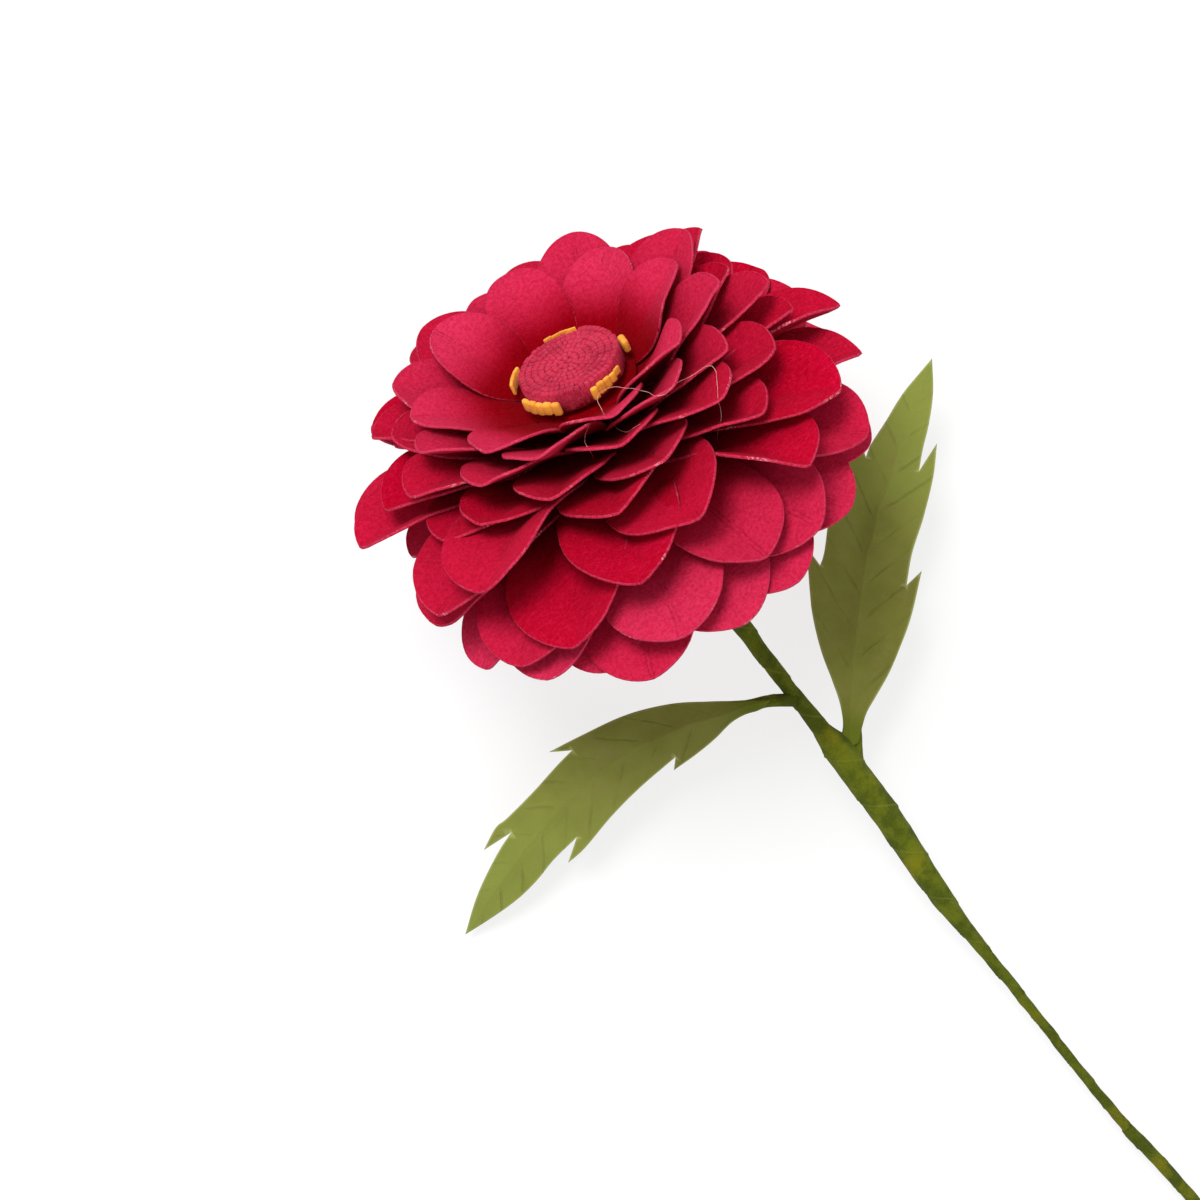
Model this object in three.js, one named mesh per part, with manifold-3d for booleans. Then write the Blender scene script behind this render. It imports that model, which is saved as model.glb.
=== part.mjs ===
// Paper zinnia on a taped wire stem, lying on a table. Millimetres, +Z up.
import * as THREE from 'three';
import Module from 'manifold-3d';
import { mergeVertices } from 'three/addons/utils/BufferGeometryUtils.js';

const wasm = await Module();
wasm.setup();

// ---------------------------------------------------------------- driving dimensions
const cardThickness = 0.6;          // petal card
const headTilt = 53.5;              // flower axis, degrees away from straight up
const headHeading = -12;            // turn of the head about the vertical, degrees
const headHeight = 46.4;            // disc face above the table

const hubRadius = 8.6;              // flat middle of each petal layer
const hubHole = 1.3;                // hole for the stem wire
const hubSides = 24;
const topHubHeight = -4.2;          // first layer's hub, measured from the disc face
const hubSpacing = 1.1;             // hub to hub down the stack

// Each layer of petals, from the disc outwards. Heights are from the disc face along the
// flower axis. Turns are degrees clockwise, seen from the front, from the head's right.
const petalLayers = [
  { tipRadius: 22.5, tipHeight: 3.8, sag: 0.3, width: 13.6,
    turns: [46, 86, 136, 177, 220, 256, 302, 341] },
  { tipRadius: 26, tipHeight: 4.4, sag: 1.7, width: 14.2,
    turns: [15, 67, 112, 158, 200, 247, 296, 338] },
  { tipRadius: 28, tipHeight: 2, sag: 1.9, width: 14.6,
    turns: [5, 41, 62, 87, 131, 181, 226, 270, 316] },
  { tipRadius: 31, tipHeight: -0.6, sag: 1.6, width: 15.2,
    turns: [34, 80, 111, 155, 191, 232, 274, 315, 354] },
  { tipRadius: 33.5, tipHeight: -3.8, sag: 1.6, width: 15.8,
    turns: [13, 52, 95, 133, 167, 208, 248, 290, 330] },
  { tipRadius: 38.5, tipHeight: -7.4, sag: 0.75, width: 17.4,
    turns: [7, 37, 81, 128, 149, 170, 212, 252, 292, 330] },
  { tipRadius: 40.4, tipHeight: -11.5, sag: 0.9, width: 17.8,
    turns: [20, 56, 96, 141, 185, 226, 268, 308, 344] },
  { tipRadius: 40.8, tipHeight: -17.8, sag: -0.4, width: 17.6,
    turns: [14, 37, 54, 73, 94, 114, 132, 152, 178, 204, 230, 256, 284, 312, 340] },
  { tipRadius: 40.4, tipHeight: -23.8, sag: -1.1, width: 17.2,
    turns: [0, 24, 47, 66, 85, 104, 123, 141, 165, 190, 215, 240, 264, 288, 312, 336] },
];
const petalRoot = 8;                // where a petal leaves the hub
const rootHalfWidth = 3.1;
const foldAngle = 19;               // each half of a petal rises this much from its crease
const foldReach = 0.7;              // share of the petal's length in which the fold opens
const capLength = 0.54;             // the rounded end's length, as a share of the petal's width
const capStations = [0.52, 0.84, 1];
const bluntTip = 0.1;               // width left at the very tip, as a share of the petal's width
const sectorShare = 0.93;           // how much of its sector a petal may fill

const coilRadius = 8.1;             // rolled fringe disc
const coilDepth = 3.5;
const coilTurns = 5;                // rolled turns, each a ridge on the face
const grooveDepth = 0.3;
const grooveWidth = 0.55;
const coilSides = 28;

const floretInner = 8.5;            // yellow florets stand against the coil's side
const floretNotch = 8.95;
const floretOuter = 9.2;
const floretDepth = 2.3;
const floretProud = 0.2;            // how far the florets stand above the disc face
const floretSpan = 40;              // degrees of rim that one floret covers
const floretTabs = 6;
const floretTurns = [0, 66, 140, 208, 273];

const wireRadius = 0.45;
const wireSides = 6;
const tapeGap = 0.2;                // tape to wire
const tapeSides = 10;
const hubClearance = 0.3;           // stem end to the sheet above it
// Stem route from under the head to the cut end: x, y from the disc's foot, then height.
const stemRoute = [
  [-2.4, -20, 32.6], [-2.6, -27, 28.6], [-2.8, -34.5, 25.2], [-2.9, -45, 21.3], [-3, -58, 17.5],
  [-2.9, -65.5, 15.5], [-2.7, -69.5, 14.6], [-3, -82.5, 12.1], [-3.7, -92, 10.4], [-4.1, -103, 8.8],
  [-3.7, -121, 6.7], [-3.6, -133.5, 5.4], [-3.3, -145, 4.4], [-2.1, -160, 3.2], [-1.4, -190, 1.9],
  [0.2, -221, 1.15],
];
// Radius of the wound tape: twice under the head, then at each of those points.
const tapeRadii = [
  2.6, 2.4, 2, 1.8, 1.65, 1.55, 1.3, 1.5, 2.5, 2.3, 2, 1.3, 0.95, 0.95, 0.95, 1.05, 1.15, 1.15,
];

// Leaf blanks: distance from the base along the blade, then distance to the side.
const leafThickness = 0.48;
const leftLeaf = {
  base: [-10.8, -55.4, 19], heading: -177.5, length: 58.5, drop: 17, crown: 1.6, fold: 0.16,
  midrib: [[0, 0], [8, -3.1], [16, -5.4], [24, -6.3], [32, -5.9], [40, -4.6], [49, -2.5], [58.5, 0]],
  edges: [
    [[3.1, -3.9], [8.2, -7.4], [14.5, -10.4], [22, -12.4], [27.6, -13.6], [24.4, -11.5], [28, -11.2],
      [34, -10.4], [40, -9.9], [42.4, -9.9], [46.4, -8.4], [40.8, -7.8], [44.4, -6.8], [49.4, -4.9],
      [54, -2.7]],
    [[2.5, 0.6], [6, 1.2], [10, 1.2], [14.3, 0.9], [12.7, -0.5], [20, -0.4], [26.5, 0.2],
      [33.4, 1.4], [37, 1.5], [33.2, -0.7], [38.4, -0.3], [43.4, 0.6], [48, 0.9], [54, 0.5]],
  ],
};
const rightLeaf = {
  base: [1.9, -67.9, 15.6], heading: 39.6, length: 57.2, drop: 3.6, crown: 2.2, fold: 0.2,
  midrib: [[0, 0], [8, 1.7], [16, 3], [24, 3.5], [32, 3.2], [40, 2.3], [49, 1.2], [57.2, 0]],
  edges: [
    [[2.7, 2.3], [5, 4.1], [9.1, 7.2], [14.1, 9.7], [17.5, 10.9], [24.2, 12.9], [21.9, 10.3],
      [24, 10.1], [30.4, 10.5], [36.5, 9.8], [43, 8.8], [39.7, 6.9], [42, 6.5], [46, 5], [51, 3.2]],
    [[1.6, -1.7], [4.3, -2.4], [8.4, -3.6], [12.8, -4.4], [17.5, -4.9], [24.4, -5], [21.7, -3.2],
      [27.1, -3], [32.8, -3.6], [38.8, -3.8], [44.2, -3.3], [39.4, -1.5], [43, -1.4], [47, -1.5],
      [52, -1.2]],
  ],
};
const stalkRadius = 0.75;
const stalkEndRadius = 0.41;
const stalkSteps = 12;
const stalkSides = 6;
const leftStalk = [
  [-4.9, -58.6, 17.9], [-7, -57, 18.2], [-10.5, -55.3, 17.85], [-14.8, -53.9, 17.1], [-19, -52.7, 16.4],
];
const rightStalk = [
  [0.1, -68.5, 14], [1.8, -67.1, 13.8], [4.5, -64.6, 13.4], [8.6, -60.6, 13.2], [13, -56.4, 13.3],
];

// ---------------------------------------------------------------- colours
const paint = (color, roughness) => new THREE.MeshStandardMaterial({ color, roughness, metalness: 0 });
const petalRed = paint(0xb90f38, 0.8);
const coilRed = paint(0xa01c34, 0.9);
const floretYellow = paint(0xf0a030, 0.8);
const tapeGreen = paint(0x566b1b, 0.85);
const leafGreen = paint(0x6f7a3a, 0.85);
const steelGrey = paint(0x8a8a86, 0.4);

// ---------------------------------------------------------------- shared shapes
const degrees = THREE.MathUtils.degToRad;
const toPoint = (place) => new THREE.Vector3(...place);

function meshFrom(positions, indices) {
  const geometry = new THREE.BufferGeometry();
  geometry.setAttribute('position', new THREE.Float32BufferAttribute(positions, 3));
  geometry.setIndex(indices);
  return geometry;
}

// A sheet of card: the grid is its middle surface, and both faces lie half a thickness off it.
function closedSheet(grid, thickness) {
  const rows = grid.length;
  const cols = grid[0].length;
  const positions = [];
  for (const side of [0.5, -0.5]) {
    for (let i = 0; i < rows; i += 1) {
      for (let j = 0; j < cols; j += 1) {
        const along = grid[Math.min(i + 1, rows - 1)][j].clone().sub(grid[Math.max(i - 1, 0)][j]);
        const across = grid[i][Math.min(j + 1, cols - 1)].clone().sub(grid[i][Math.max(j - 1, 0)]);
        const normal = along.cross(across).normalize();
        positions.push(...grid[i][j].clone().addScaledVector(normal, side * thickness).toArray());
      }
    }
  }
  const top = (i, j) => i * cols + j;
  const under = (i, j) => (rows + i) * cols + j;
  const indices = [];
  for (let i = 0; i + 1 < rows; i += 1) {
    for (let j = 0; j + 1 < cols; j += 1) {
      indices.push(top(i, j), top(i + 1, j), top(i + 1, j + 1));
      indices.push(top(i, j), top(i + 1, j + 1), top(i, j + 1));
      indices.push(under(i, j), under(i + 1, j + 1), under(i + 1, j));
      indices.push(under(i, j), under(i, j + 1), under(i + 1, j + 1));
    }
  }
  const edge = [];
  for (let i = 0; i < rows; i += 1) edge.push([i, 0]);
  for (let j = 1; j < cols; j += 1) edge.push([rows - 1, j]);
  for (let i = rows - 2; i >= 0; i -= 1) edge.push([i, cols - 1]);
  for (let j = cols - 2; j >= 1; j -= 1) edge.push([0, j]);
  edge.forEach((here, k) => {
    const next = edge[(k + 1) % edge.length];
    indices.push(top(...next), top(...here), under(...here));
    indices.push(top(...next), under(...here), under(...next));
  });
  return meshFrom(positions, indices);
}

// A round rod that follows a curve, with a radius for each place and its own end caps.
function taperedRod(curve, radiusAt, steps, sides) {
  const positions = [];
  const frames = curve.computeFrenetFrames(steps, false);
  for (let i = 0; i <= steps; i += 1) {
    const centre = curve.getPointAt(i / steps);
    const radius = radiusAt(i / steps);
    for (let k = 0; k < sides; k += 1) {
      const angle = (2 * Math.PI * k) / sides;
      const point = centre.clone();
      point.addScaledVector(frames.normals[i], radius * Math.cos(angle));
      point.addScaledVector(frames.binormals[i], radius * Math.sin(angle));
      positions.push(...point.toArray());
    }
  }
  const startCentre = positions.length / 3;
  positions.push(...curve.getPointAt(0).toArray());
  positions.push(...curve.getPointAt(1).toArray());
  const at = (i, k) => i * sides + (k % sides);
  const indices = [];
  for (let i = 0; i < steps; i += 1) {
    for (let k = 0; k < sides; k += 1) {
      indices.push(at(i, k), at(i, k + 1), at(i + 1, k + 1));
      indices.push(at(i, k), at(i + 1, k + 1), at(i + 1, k));
    }
  }
  for (let k = 0; k < sides; k += 1) {
    indices.push(startCentre, at(0, k + 1), at(0, k));
    indices.push(startCentre + 1, at(steps, k), at(steps, k + 1));
  }
  return meshFrom(positions, indices);
}

function toSolid(geometry) {
  const bare = new THREE.BufferGeometry();
  bare.setAttribute('position', geometry.getAttribute('position'));
  bare.setIndex(geometry.getIndex());
  const welded = mergeVertices(bare, 1e-4);
  return new wasm.Manifold(new wasm.Mesh({
    numProp: 3,
    vertProperties: new Float32Array(welded.getAttribute('position').array),
    triVerts: new Uint32Array(welded.getIndex().array),
  }));
}

function fromSolid(solid) {
  const mesh = solid.getMesh();
  const positions = [];
  for (let i = 0; i < mesh.vertProperties.length; i += mesh.numProp) {
    positions.push(...mesh.vertProperties.slice(i, i + 3));
  }
  return meshFrom(positions, Array.from(mesh.triVerts));
}

function named(name, geometry, material) {
  const mesh = new THREE.Mesh(geometry, material);
  mesh.name = name;
  return mesh;
}

// ---------------------------------------------------------------- petal layers
const hubHeight = (index) => topHubHeight - hubSpacing * index;

// Half the angle to the next petal on each side, so that neighbours meet without crossing.
function sectorRoom(turns, k) {
  const halfGap = (other) => {
    const gap = Math.abs(turns[k] - turns[(other + turns.length) % turns.length]);
    return degrees(Math.min(gap, 360 - gap) / 2);
  };
  return { left: halfGap(k - 1), right: halfGap(k + 1) };
}

// A petal widens from its root, then ends in a rounded cap.
function petalHalfWidth(t, capStart, width) {
  if (t <= capStart) {
    const opening = Math.sin((Math.PI / 2) * (t / capStart));
    return THREE.MathUtils.lerp(rootHalfWidth, width / 2, opening);
  }
  const step = (t - capStart) / (1 - capStart);
  return Math.max(bluntTip, Math.sqrt(1 - step * step)) * (width / 2);
}

// One petal's middle surface: rows run from the hub to the tip, columns across the crease.
function petalGrid(layer, index, k) {
  const room = sectorRoom(layer.turns, k);
  const root = new THREE.Vector2(petalRoot, hubHeight(index));
  const tip = new THREE.Vector2(layer.tipRadius, layer.tipHeight);
  const middle = root.clone().add(tip).multiplyScalar(0.5);
  middle.y -= 2 * layer.sag;
  const line = new THREE.QuadraticBezierCurve(root, middle, tip);
  const capStart = 1 - (capLength * layer.width) / root.distanceTo(tip);
  const stations = [0, 0.5 * capStart, capStart];
  for (const step of capStations) stations.push(THREE.MathUtils.lerp(capStart, 1, step));
  const heading = degrees(-layer.turns[k]);
  return stations.map((t) => {
    const place = line.getPoint(t);
    const slope = line.getTangent(t);
    const fold = degrees(foldAngle) * THREE.MathUtils.smoothstep(t, 0, foldReach);
    return [-1, 0, 1].map((across) => {
      const gap = across > 0 ? room.left : room.right;
      const limit = sectorShare * place.x * Math.tan(gap);
      const reach = Math.abs(across) * Math.min(petalHalfWidth(t, capStart, layer.width), limit);
      const side = Math.sign(across) * reach * Math.cos(fold);
      const rise = reach * Math.sin(fold);
      const radial = place.x - slope.y * rise;
      return new THREE.Vector3(
        radial * Math.cos(heading) - side * Math.sin(heading),
        radial * Math.sin(heading) + side * Math.cos(heading),
        place.y + slope.x * rise,
      );
    });
  });
}

function hubRing(height) {
  const half = cardThickness / 2;
  const profile = [
    [hubHole, -half], [hubRadius, -half], [hubRadius, half], [hubHole, half], [hubHole, -half],
  ];
  const ring = new THREE.LatheGeometry(profile.map(([r, z]) => new THREE.Vector2(r, z)), hubSides);
  ring.rotateX(Math.PI / 2);
  ring.translate(0, 0, height);
  return ring;
}

function petalLayer(layer, index) {
  let solid = toSolid(hubRing(hubHeight(index)));
  for (let k = 0; k < layer.turns.length; k += 1) {
    solid = solid.add(toSolid(closedSheet(petalGrid(layer, index, k), cardThickness)));
  }
  return named(`petal_layer_${index + 1}`, fromSolid(solid), petalRed);
}

// ---------------------------------------------------------------- disc and florets
function centerCoil() {
  const turnWidth = coilRadius / coilTurns;
  const profile = [[0, -coilDepth], [coilRadius, -coilDepth]];
  for (let turn = coilTurns; turn >= 1; turn -= 1) {
    const rim = turn * turnWidth;
    profile.push([rim, -grooveDepth], [rim - grooveWidth, 0]);
    if (turn > 1) profile.push([rim - turnWidth + grooveWidth / 2, 0]);
  }
  profile.push([0, 0]);
  const disc = new THREE.LatheGeometry(profile.map(([r, z]) => new THREE.Vector2(r, z)), coilSides);
  disc.rotateX(Math.PI / 2);
  return named('center_coil', disc, coilRed);
}

function yellowFloret(turn, number) {
  const start = degrees(-turn - floretSpan / 2);
  const step = degrees(floretSpan) / floretTabs;
  const rimPoint = (radius, angle) => [radius * Math.cos(angle), radius * Math.sin(angle)];
  const outline = new THREE.Shape();
  outline.moveTo(...rimPoint(floretInner, start));
  for (let tab = 0; tab < floretTabs; tab += 1) {
    outline.lineTo(...rimPoint(floretNotch, start + step * tab));
    outline.lineTo(...rimPoint(floretOuter, start + step * (tab + 0.5)));
  }
  outline.lineTo(...rimPoint(floretNotch, start + step * floretTabs));
  for (let back = floretTabs; back >= 1; back -= 1) {
    outline.lineTo(...rimPoint(floretInner, start + step * back));
  }
  outline.closePath();
  const strip = new THREE.ExtrudeGeometry(outline, { depth: floretDepth, bevelEnabled: false });
  strip.translate(0, 0, floretProud - floretDepth);
  return named(`yellow_floret_${number}`, strip, floretYellow);
}

// ---------------------------------------------------------------- stem
// A place along the flower axis, in the lying flower.
function axisPoint(height) {
  const point = new THREE.Vector3(0, 0, height);
  point.applyAxisAngle(new THREE.Vector3(1, 0, 0), degrees(-headTilt));
  point.applyAxisAngle(new THREE.Vector3(0, 0, 1), degrees(headHeading));
  return point.add(new THREE.Vector3(0, 0, headHeight));
}

const lastHub = hubHeight(petalLayers.length - 1);
const behindHead = axisPoint(lastHub - 4);
const inHubs = axisPoint(lastHub + 2);
const tapeStart = axisPoint(lastHub - cardThickness / 2 - hubClearance);
const wireStart = axisPoint(-coilDepth - hubClearance);
const routePoints = [tapeStart, behindHead, ...stemRoute.map(toPoint)];
const tapeCurve = new THREE.CatmullRomCurve3(routePoints);

// Radii are given at the curve's own points; u runs evenly along its length.
function radiusAlong(curve, radii) {
  const stops = radii.length - 1;
  return (u) => {
    const t = curve.getUtoTmapping(u) * stops;
    const k = Math.min(Math.floor(t), stops - 1);
    return THREE.MathUtils.lerp(radii[k], radii[k + 1], t - k);
  };
}

function stemTape() {
  const outside = taperedRod(tapeCurve, radiusAlong(tapeCurve, tapeRadii), 56, tapeSides);
  const pastCut = tapeCurve.getPointAt(1).add(tapeCurve.getTangentAt(1).multiplyScalar(2));
  const boreCurve = new THREE.CatmullRomCurve3([inHubs, ...routePoints, pastCut]);
  const bore = taperedRod(boreCurve, () => wireRadius + tapeGap, 70, 8);
  return named('stem_tape', fromSolid(toSolid(outside).subtract(toSolid(bore))), tapeGreen);
}

function stemWire() {
  const wireCurve = new THREE.CatmullRomCurve3([wireStart, inHubs, ...routePoints]);
  return named('stem_wire', taperedRod(wireCurve, () => wireRadius, 72, wireSides), steelGrey);
}

// ---------------------------------------------------------------- leaves
function midribSide(midrib, s) {
  let k = 0;
  while (k < midrib.length - 2 && midrib[k + 1][0] < s) k += 1;
  const part = (s - midrib[k][0]) / (midrib[k + 1][0] - midrib[k][0]);
  return THREE.MathUtils.lerp(midrib[k][1], midrib[k + 1][1], part);
}

// The blade arches along its length, and both halves rise from the midrib.
function layLeafPoint(leaf, [s, side], offset) {
  const part = s / leaf.length;
  const arch = leaf.crown * 4 * part * (1 - part);
  const lift = Math.abs(side - midribSide(leaf.midrib, s)) * leaf.fold;
  const point = new THREE.Vector3(s, side, arch + lift + offset);
  point.applyAxisAngle(new THREE.Vector3(0, 1, 0), Math.asin(leaf.drop / leaf.length));
  point.applyAxisAngle(new THREE.Vector3(0, 0, 1), degrees(leaf.heading));
  return point.add(toPoint(leaf.base)).toArray();
}

// Both halves as flat triangles that share the midrib's points, all turned the same way.
function leafTriangles(leaf) {
  const points = [...leaf.midrib];
  const faces = [];
  for (const edge of leaf.edges) {
    const first = points.length;
    points.push(...edge);
    const ids = [...leaf.midrib.keys(), ...[...edge.keys()].reverse().map((k) => first + k)];
    const flat = ids.map((id) => new THREE.Vector2(...points[id]));
    for (const [a, b, c] of THREE.ShapeUtils.triangulateShape(flat, [])) {
      const turned = THREE.ShapeUtils.isClockWise([flat[a], flat[b], flat[c]]);
      faces.push(turned ? [ids[a], ids[c], ids[b]] : [ids[a], ids[b], ids[c]]);
    }
  }
  return { points, faces };
}

function leafBlade(name, leaf) {
  const { points, faces } = leafTriangles(leaf);
  const count = points.length;
  const positions = [];
  for (const offset of [leafThickness / 2, -leafThickness / 2]) {
    points.forEach((place) => positions.push(...layLeafPoint(leaf, place, offset)));
  }
  const indices = [];
  const border = new Map();
  for (const [a, b, c] of faces) {
    indices.push(a, b, c);
    indices.push(a + count, c + count, b + count);
    for (const [from, to] of [[a, b], [b, c], [c, a]]) {
      if (border.has(`${to},${from}`)) border.delete(`${to},${from}`);
      else border.set(`${from},${to}`, [from, to]);
    }
  }
  for (const [from, to] of border.values()) {
    indices.push(to, from, from + count, to, from + count, to + count);
  }
  return named(name, meshFrom(positions, indices), leafGreen);
}

function leafStalk(name, route) {
  const curve = new THREE.CatmullRomCurve3(route.map(toPoint));
  const radius = (u) => THREE.MathUtils.lerp(stalkRadius, stalkEndRadius, u);
  return named(name, taperedRod(curve, radius, stalkSteps, stalkSides), tapeGreen);
}

// ---------------------------------------------------------------- assembly
const head = new THREE.Group();
petalLayers.forEach((layer, index) => head.add(petalLayer(layer, index)));
head.add(centerCoil());
floretTurns.forEach((turn, k) => head.add(yellowFloret(turn, k + 1)));
head.rotation.x = degrees(-headTilt);

const turnedHead = new THREE.Group();
turnedHead.add(head);
turnedHead.rotation.z = degrees(headHeading);
turnedHead.position.z = headHeight;

const flower = new THREE.Group();
flower.add(turnedHead, stemTape(), stemWire());
flower.add(leafBlade('left_leaf', leftLeaf), leafStalk('left_leaf_stalk', leftStalk));
flower.add(leafBlade('right_leaf', rightLeaf), leafStalk('right_leaf_stalk', rightStalk));

// The frame's origin is the middle of the footprint, on the table.
flower.updateMatrixWorld(true);
const bounds = new THREE.Box3().setFromObject(flower, true);
const footprint = bounds.getCenter(new THREE.Vector3());
flower.position.set(-footprint.x, -footprint.y, -bounds.min.z);

export default flower;
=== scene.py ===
import math
import random

import bmesh
import bpy
from mathutils import Matrix, Vector, geometry, noise


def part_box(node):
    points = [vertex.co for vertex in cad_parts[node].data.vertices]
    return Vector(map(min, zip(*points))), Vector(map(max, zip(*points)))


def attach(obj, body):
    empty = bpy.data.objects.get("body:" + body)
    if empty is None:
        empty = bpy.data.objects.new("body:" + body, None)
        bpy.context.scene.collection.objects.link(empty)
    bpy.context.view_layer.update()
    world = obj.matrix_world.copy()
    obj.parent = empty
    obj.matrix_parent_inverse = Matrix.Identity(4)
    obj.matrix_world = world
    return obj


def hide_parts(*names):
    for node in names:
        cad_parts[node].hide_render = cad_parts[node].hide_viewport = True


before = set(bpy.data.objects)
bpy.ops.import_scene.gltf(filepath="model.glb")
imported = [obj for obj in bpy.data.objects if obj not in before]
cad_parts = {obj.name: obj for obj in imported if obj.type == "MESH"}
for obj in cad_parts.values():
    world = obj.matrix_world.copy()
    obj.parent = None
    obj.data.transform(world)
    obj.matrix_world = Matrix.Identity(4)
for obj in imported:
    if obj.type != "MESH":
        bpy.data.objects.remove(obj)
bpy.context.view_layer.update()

mm = 0.001
tiny = 1e-6

# The flower's face is tilted and turned as it lies, so the whole head is drawn in its own frame.
headPose = {"tilt": 53.5, "heading": -12.0, "faceAboveMiddle": 1.9}


def boxMiddle(node):
    low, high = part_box(node)
    return (Vector(low) + Vector(high)) / 2


def addObject(name, data):
    made = bpy.data.objects.new(name, data)
    bpy.context.scene.collection.objects.link(made)
    return made


headTurn = (Matrix.Rotation(math.radians(headPose["heading"]), 4, "Z")
            @ Matrix.Rotation(math.radians(-headPose["tilt"]), 4, "X"))
flowerAxis = headTurn.col[2].xyz
discFace = boxMiddle("center_coil") + flowerAxis * headPose["faceAboveMiddle"] * mm
fromMm = Matrix.Scale(mm, 4)
headMatrix = Matrix.Translation(discFace) @ headTurn @ fromMm

# Stem and leaf routes are measured from the point on the table under the disc.
tablePoint = Vector((discFace.x, discFace.y, 0.0))


# camera, straight down over the flower
cameraSet = {"fromDisc": (-17.46, -29.34, 450.0), "turn": -38.0, "lens": 94.08, "sensor": 36.0,
             "clip": (0.01, 20)}


def makeCamera():
    data = bpy.data.cameras.new("camera")
    data.lens = cameraSet["lens"]
    data.sensor_width = cameraSet["sensor"]
    data.clip_start, data.clip_end = cameraSet["clip"]
    camera = addObject("camera", data)
    camera.location = discFace + Vector(cameraSet["fromDisc"]) * mm
    camera.rotation_euler = (0, 0, math.radians(cameraSet["turn"]))
    bpy.context.scene.camera = camera


makeCamera()
print("camera placed")


# table and lights
# the table glows with its own emission: painted light that keeps it near white, leaves only faint shadows and
# lights the flower from below
tableSet = {"size": 6.0, "colour": (0.2, 0.2, 0.2, 1), "glow": (1.0, 1.0, 1.0, 1), "glowStrength": 0.735,
            "roughness": 0.8, "drop": 0.0002}
lightSet = {
    "world": (1.0, 1.0, 1.0, 1), "worldStrength": 0.72,
    # name: place from the disc in metres, size, power, colour
    "window": ((0.06, 0.65, 1.35), 0.6, 20.6, (1.0, 0.99, 0.98)),
    "fill": ((0.2, -1.0, 1.3), 1.3, 3.0, (0.98, 0.99, 1.0)),
}


def makeTable():
    bm = bmesh.new()
    bmesh.ops.create_grid(bm, x_segments=2, y_segments=2, size=tableSet["size"] / 2)
    mesh = bpy.data.meshes.new("table")
    bm.to_mesh(mesh)
    bm.free()
    table = addObject("table", mesh)
    table.location.z = -tableSet["drop"]
    paint = bpy.data.materials.new("glowingTable")
    paint.use_nodes = True
    surface = paint.node_tree.nodes["Principled BSDF"]
    surface.inputs["Base Color"].default_value = tableSet["colour"]
    surface.inputs["Roughness"].default_value = tableSet["roughness"]
    surface.inputs["Emission Color"].default_value = tableSet["glow"]
    surface.inputs["Emission Strength"].default_value = tableSet["glowStrength"]
    mesh.materials.append(paint)


def makeLights():
    world = bpy.data.worlds.new("studio")
    bpy.context.scene.world = world
    world.use_nodes = True
    sky = world.node_tree.nodes["Background"]
    sky.inputs["Color"].default_value = lightSet["world"]
    sky.inputs["Strength"].default_value = lightSet["worldStrength"]
    for name in ("window", "fill"):
        place, size, power, colour = lightSet[name]
        data = bpy.data.lights.new(name, "AREA")
        data.shape = "DISK"
        data.size = size
        data.energy = power
        data.color = colour
        lamp = addObject(name, data)
        lamp.location = discFace + Vector(place)
        lamp.rotation_euler = (-Vector(place)).to_track_quat("-Z", "Y").to_euler()


makeTable()
makeLights()
bpy.context.scene.view_settings.view_transform = "Standard"
print("table and lights ready")


# small helpers for nodes and pieces
def addNode(tree, kind, **settings):
    node = tree.nodes.new(kind)
    for name, value in settings.items():
        setattr(node, name, value)
    return node


def feed(tree, socket, value):
    if isinstance(value, bpy.types.NodeSocket):
        tree.links.new(value, socket)
    else:
        socket.default_value = value


def mathNode(tree, operation, first, second=0.0):
    node = addNode(tree, "ShaderNodeMath", operation=operation)
    feed(tree, node.inputs[0], first)
    feed(tree, node.inputs[1], second)
    return node.outputs[0]


def plus(tree, first, second):
    return mathNode(tree, "ADD", first, second)


def minus(tree, first, second):
    return mathNode(tree, "SUBTRACT", first, second)


def times(tree, first, second):
    return mathNode(tree, "MULTIPLY", first, second)


def mixColour(tree, amount, first, second, blend="MIX"):
    node = addNode(tree, "ShaderNodeMix", data_type="RGBA", blend_type=blend)
    feed(tree, node.inputs["Factor"], amount)
    feed(tree, node.inputs["A"], first)
    feed(tree, node.inputs["B"], second)
    return node.outputs["Result"]


def noiseNode(tree, vector, scale, detail=3.0, roughness=0.6, distortion=0.0):
    node = addNode(tree, "ShaderNodeTexNoise")
    feed(tree, node.inputs["Vector"], vector)
    feed(tree, node.inputs["Scale"], scale)
    node.inputs["Detail"].default_value = detail
    node.inputs["Roughness"].default_value = roughness
    node.inputs["Distortion"].default_value = distortion
    return node.outputs["Fac"]


def ramp(tree, value, low, high, fromValue=0.0, toValue=1.0):
    node = addNode(tree, "ShaderNodeMapRange", interpolation_type="SMOOTHSTEP")
    feed(tree, node.inputs["Value"], value)
    node.inputs["From Min"].default_value = low
    node.inputs["From Max"].default_value = high
    node.inputs["To Min"].default_value = fromValue
    node.inputs["To Max"].default_value = toValue
    return node.outputs["Result"]


def attributeValue(tree, name):
    return addNode(tree, "ShaderNodeAttribute", attribute_name=name).outputs["Fac"]


def objectPlace(tree):
    return addNode(tree, "ShaderNodeTexCoord").outputs["Object"]


def localNoise(tree, *values):
    return noiseNode(tree, objectPlace(tree), *values)


def mapPlace(tree, mapName):
    place = addNode(tree, "ShaderNodeUVMap", uv_map=mapName).outputs["UV"]
    split = addNode(tree, "ShaderNodeSeparateXYZ")
    tree.links.new(place, split.inputs[0])
    return place, split.outputs["X"], split.outputs["Y"]


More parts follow.
